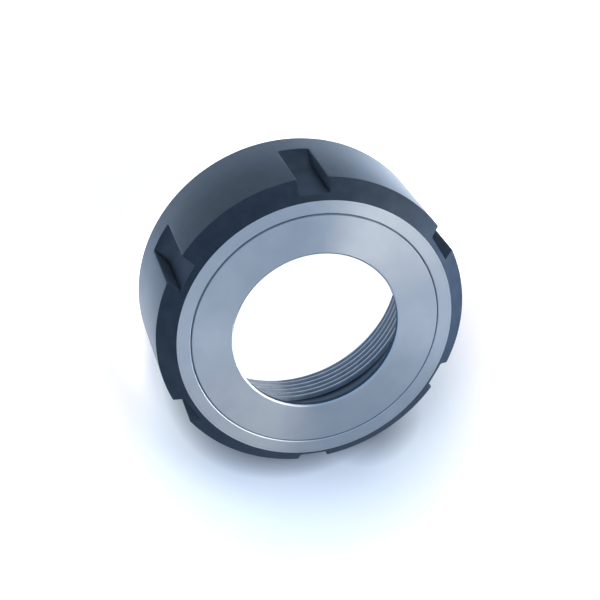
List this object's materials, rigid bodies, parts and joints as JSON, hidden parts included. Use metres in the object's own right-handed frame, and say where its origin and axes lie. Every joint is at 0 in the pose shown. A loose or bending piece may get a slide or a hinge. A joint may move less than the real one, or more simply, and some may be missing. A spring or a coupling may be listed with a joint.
{
  "type": "collet nut",
  "caption": "Slotted clamping nut for spring collets, with a flush ball-bearing ring that turns freely in the nut.",
  "frame": {"origin": "centre of the rear face, on the nut's axis, where the nut stands", "axes": "+Z along the nut's axis from the threaded rear end to the front face; a spanner slot lies on +X"},
  "size_m": [0.063, 0.063, 0.0255],
  "materials": {
    "blackened_steel": "hardened and blackened, satin, with a ground front face",
    "ground_steel": "ground",
    "ball_steel": "polished"
  },
  "bodies": {
    "nut": {"nut_body": "blackened_steel", "filler_plug": "blackened_steel"},
    "ring": {"bearing_ring": "ground_steel"},
    "ball_set": {"ball_01": "ball_steel", "ball_02": "ball_steel", "ball_03": "ball_steel", "ball_04": "ball_steel", "ball_05": "ball_steel", "ball_06": "ball_steel", "ball_07": "ball_steel", "ball_08": "ball_steel", "ball_09": "ball_steel", "ball_10": "ball_steel", "ball_11": "ball_steel", "ball_12": "ball_steel", "ball_13": "ball_steel", "ball_14": "ball_steel", "ball_15": "ball_steel", "ball_16": "ball_steel", "ball_17": "ball_steel", "ball_18": "ball_steel", "ball_19": "ball_steel", "ball_20": "ball_steel", "ball_21": "ball_steel", "ball_22": "ball_steel", "ball_23": "ball_steel", "ball_24": "ball_steel", "ball_25": "ball_steel", "ball_26": "ball_steel", "ball_27": "ball_steel", "ball_28": "ball_steel", "ball_29": "ball_steel", "ball_30": "ball_steel", "ball_31": "ball_steel", "ball_32": "ball_steel", "ball_33": "ball_steel", "ball_34": "ball_steel", "ball_35": "ball_steel", "ball_36": "ball_steel", "ball_37": "ball_steel", "ball_38": "ball_steel", "ball_39": "ball_steel", "ball_40": "ball_steel", "ball_41": "ball_steel", "ball_42": "ball_steel", "ball_43": "ball_steel", "ball_44": "ball_steel", "ball_45": "ball_steel", "ball_46": "ball_steel", "ball_47": "ball_steel", "ball_48": "ball_steel", "ball_49": "ball_steel"}
  },
  "joints": [
    {"name": "ring_spin", "type": "hinge", "parent": "nut", "child": "ring", "pos_m": [0, 0, 0.0205], "axis": [0, 0, 1], "continuous": true},
    {"name": "ball_orbit", "type": "hinge", "parent": "nut", "child": "ball_set", "pos_m": [0, 0, 0.0205], "axis": [0, 0, 1], "continuous": true}
  ],
  "couplings": [
    {"joint": "ball_orbit", "follows": "ring_spin", "ratio": 0.4685}
  ]
}
